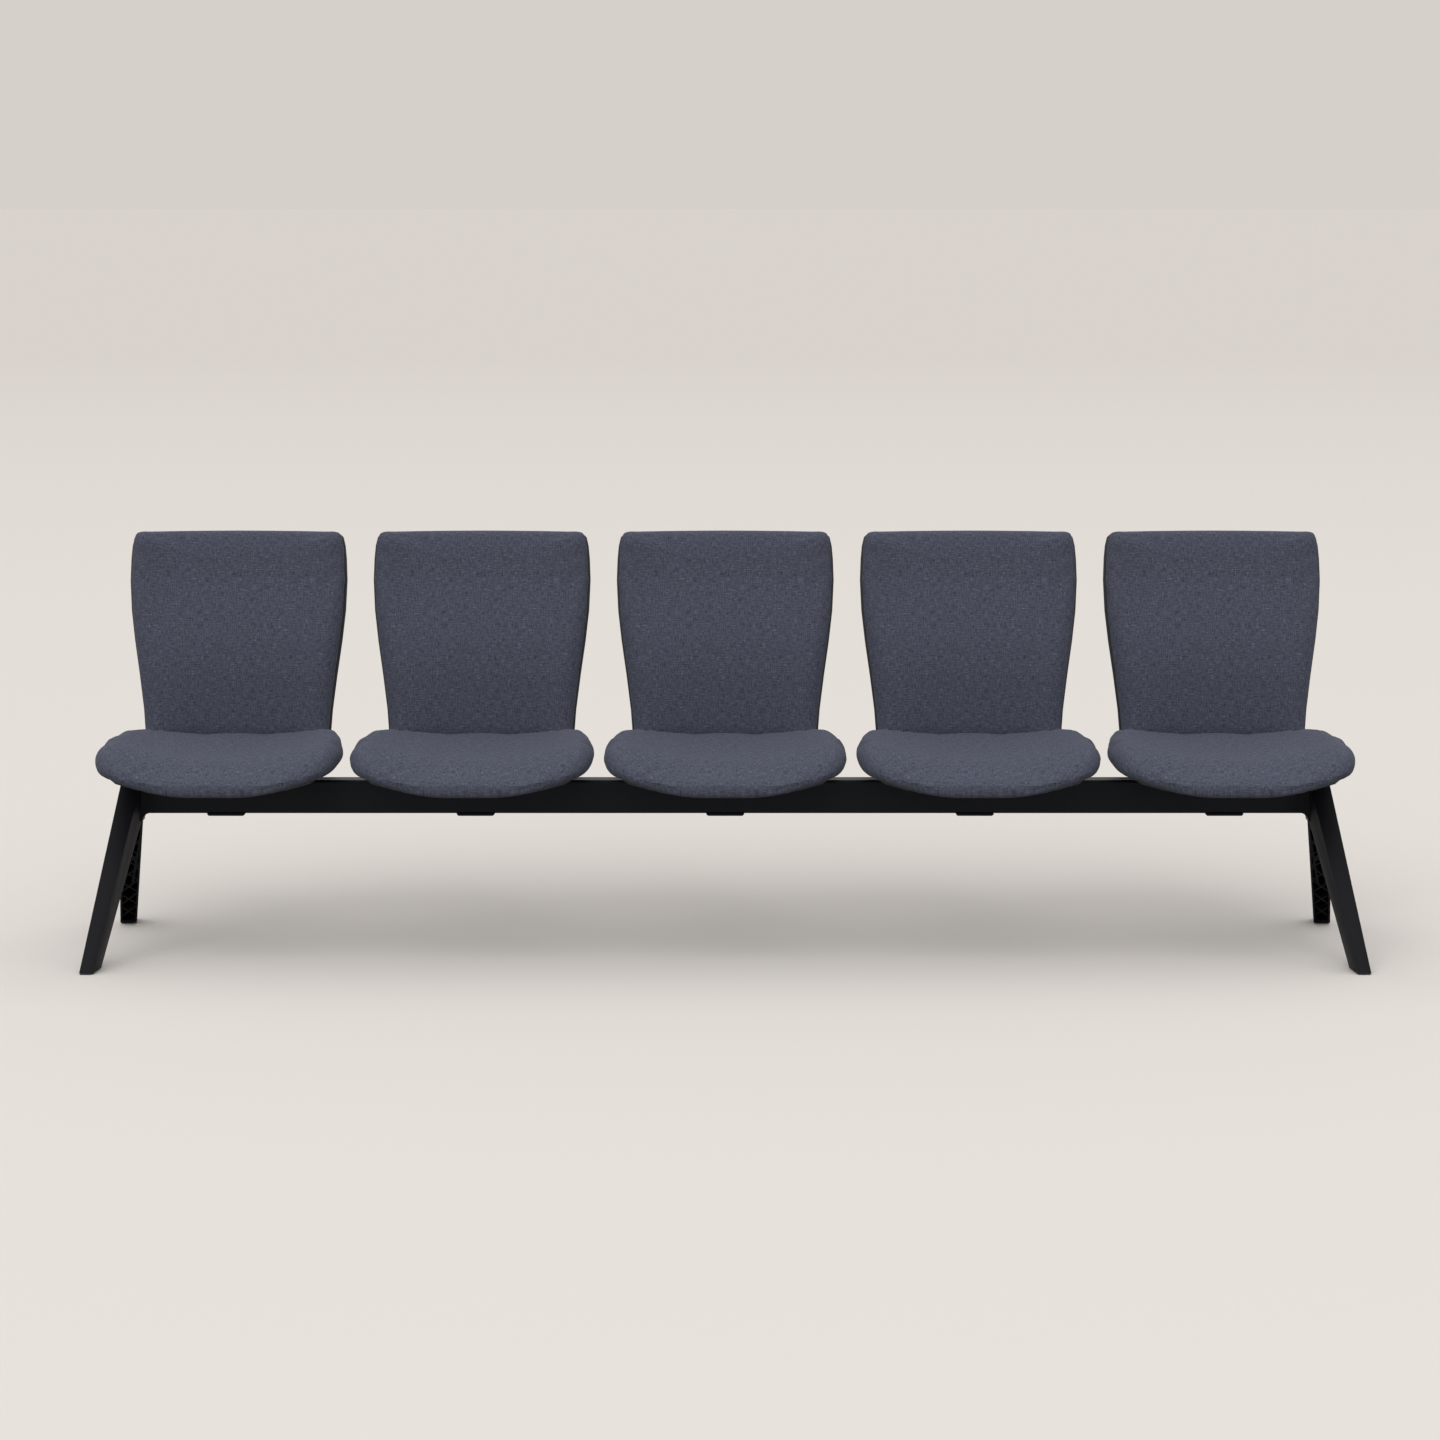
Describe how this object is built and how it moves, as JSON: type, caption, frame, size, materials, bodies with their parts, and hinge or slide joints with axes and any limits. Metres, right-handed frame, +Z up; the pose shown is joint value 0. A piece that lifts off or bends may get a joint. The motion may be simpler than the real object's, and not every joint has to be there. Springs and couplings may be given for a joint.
{
  "type": "beam seating",
  "caption": "Beam seating for waiting areas: a steel beam on cast inverted-V legs carries a row of separate upholstered seats and leaning backs.",
  "frame": {"origin": "on the floor, under the middle of the beam", "axes": "+X along the beam, to the right of someone who looks at the seats; -Y is the way a sitter faces; +Z up"},
  "size_m": [2.6152, 0.5876, 0.8449],
  "materials": {
    "beam_steel": "fine matt black powder coat",
    "cast_frame": "fine matt black powder coat on a casting",
    "plate_steel": "fine matt black powder coat",
    "seat_fabric": "bluish charcoal woven melange",
    "back_fabric": "bluish charcoal woven melange",
    "black_plastic": "fine-textured black polypropylene",
    "glide_plastic": "black polyamide",
    "black_fasteners": "black oxide"
  },
  "bodies": {
    "root": {"beam": "beam_steel", "leg_left": "cast_frame", "leg_right": "cast_frame", "seat_carrier_1": "cast_frame", "seat_carrier_2": "cast_frame", "seat_carrier_3": "cast_frame", "seat_carrier_4": "cast_frame", "seat_carrier_5": "cast_frame", "clamp_plate_1": "plate_steel", "clamp_plate_2": "plate_steel", "clamp_plate_3": "plate_steel", "clamp_plate_4": "plate_steel", "clamp_plate_5": "plate_steel", "back_upright_1": "plate_steel", "back_upright_2": "plate_steel", "back_upright_3": "plate_steel", "back_upright_4": "plate_steel", "back_upright_5": "plate_steel", "seat_cushion_1": "seat_fabric", "seat_cushion_2": "seat_fabric", "seat_cushion_3": "seat_fabric", "seat_cushion_4": "seat_fabric", "seat_cushion_5": "seat_fabric", "back_cushion_1": "back_fabric", "back_cushion_2": "back_fabric", "back_cushion_3": "back_fabric", "back_cushion_4": "back_fabric", "back_cushion_5": "back_fabric", "seat_pan_1": "black_plastic", "seat_pan_2": "black_plastic", "seat_pan_3": "black_plastic", "seat_pan_4": "black_plastic", "seat_pan_5": "black_plastic", "back_shell_1": "black_plastic", "back_shell_2": "black_plastic", "back_shell_3": "black_plastic", "back_shell_4": "black_plastic", "back_shell_5": "black_plastic", "glide_front_left": "glide_plastic", "glide_rear_left": "glide_plastic", "glide_front_right": "glide_plastic", "glide_rear_right": "glide_plastic", "clamp_bolts": "black_fasteners", "clamp_nuts": "black_fasteners", "upright_bolts": "black_fasteners", "upright_nuts": "black_fasteners", "leg_bolts": "black_fasteners"}
  },
  "joints": []
}
